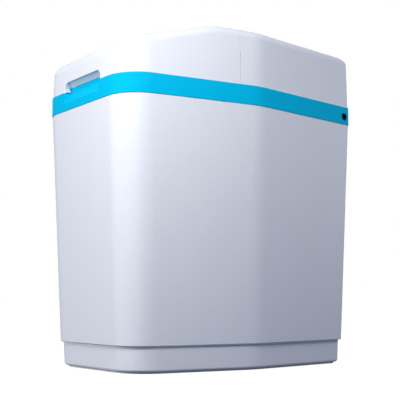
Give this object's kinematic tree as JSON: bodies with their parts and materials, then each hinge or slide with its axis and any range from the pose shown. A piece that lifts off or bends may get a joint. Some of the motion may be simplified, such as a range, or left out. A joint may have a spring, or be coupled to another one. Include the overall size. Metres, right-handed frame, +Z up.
{
  "type": "water softener",
  "caption": "Compact cabinet water softener: a flared white tub on a stepped plinth, a cyan collar, a hinged salt lid with a finger recess, and resin tanks with a water-driven valve behind.",
  "frame": {"origin": "on the floor, under the middle of the cabinet: halfway between the front and the rear face and on the mid plane", "axes": "+Z up, -Y towards the front with the finger recess, +X to the right seen from behind the lid towards the rear cover, the side with the overflow grommet"},
  "size_m": [0.3108, 0.437, 0.508],
  "materials": {
    "white_shell": "satin moulded white",
    "blue_band": "satin moulded cyan blue",
    "steel": "plain bright steel",
    "black_rubber": "matte rubber",
    "tank_shell": "matte wound shell",
    "resin": "amber bead bed",
    "white_inner": "natural white moulding",
    "grey_plastic": "fine grained moulding",
    "black_plastic": "glass filled moulding",
    "blue_plastic": "moulded blue",
    "clear_plastic": "clear moulding",
    "tube_plastic": "semi-clear tube"
  },
  "bodies": {
    "cabinet": {"tub": "white_shell", "collar": "blue_band", "rear_cover": "white_shell", "hinge_pins": "steel", "cover_screws": "steel", "overflow_grommet": "black_rubber", "tank_cradle": "grey_plastic", "resin_tank_left": "tank_shell", "resin_tank_right": "tank_shell", "resin_bed_left": "resin", "resin_bed_right": "resin", "riser_tube_left": "white_inner", "riser_tube_right": "white_inner", "distributor_left": "grey_plastic", "distributor_right": "grey_plastic", "tank_nut_left": "black_plastic", "tank_nut_right": "black_plastic", "tank_o_rings": "black_rubber", "manifold": "grey_plastic", "valve_body": "black_plastic", "valve_screws": "steel", "valve_cap": "grey_plastic", "cap_screws": "steel", "meter_cover": "clear_plastic", "inlet_port": "black_plastic", "outlet_port": "black_plastic", "port_o_rings": "black_rubber", "port_clips": "steel", "drain_spigot": "grey_plastic", "brine_well": "white_inner", "brine_well_cap": "white_inner", "brine_valve": "grey_plastic", "brine_tube": "tube_plastic", "brine_nut": "black_plastic", "salt_platform": "white_inner"},
    "lid": {"front_lid": "white_shell"},
    "meter": {"control_disc": "white_inner", "meter_shaft": "steel", "meter_disc": "white_inner", "rinse_knob": "blue_plastic"},
    "turbine": {"turbine_rotor": "white_inner", "meter_pinion": "blue_plastic"},
    "float_set": {"float": "white_inner", "float_rod": "steel", "rod_stops": "black_rubber"}
  },
  "joints": [
    {"name": "lid_hinge", "type": "hinge", "parent": "cabinet", "child": "lid", "pos_m": [0, -0.033, 0.504], "axis": [-1, 0, 0], "range_deg": [0, 100]},
    {"name": "meter_spin", "type": "hinge", "parent": "cabinet", "child": "meter", "pos_m": [0, 0.13234, 0.468], "axis": [0, 0, 1], "continuous": true},
    {"name": "turbine_spin", "type": "hinge", "parent": "cabinet", "child": "turbine", "pos_m": [0, 0.07984, 0.468], "axis": [0, 0, 1], "continuous": true},
    {"name": "float_slide", "type": "slide", "parent": "cabinet", "child": "float_set", "axis": [0, 0, 1], "range_m": [0, 0.015]}
  ],
  "couplings": [
    {"joint": "turbine_spin", "follows": "meter_spin", "ratio": -4}
  ]
}
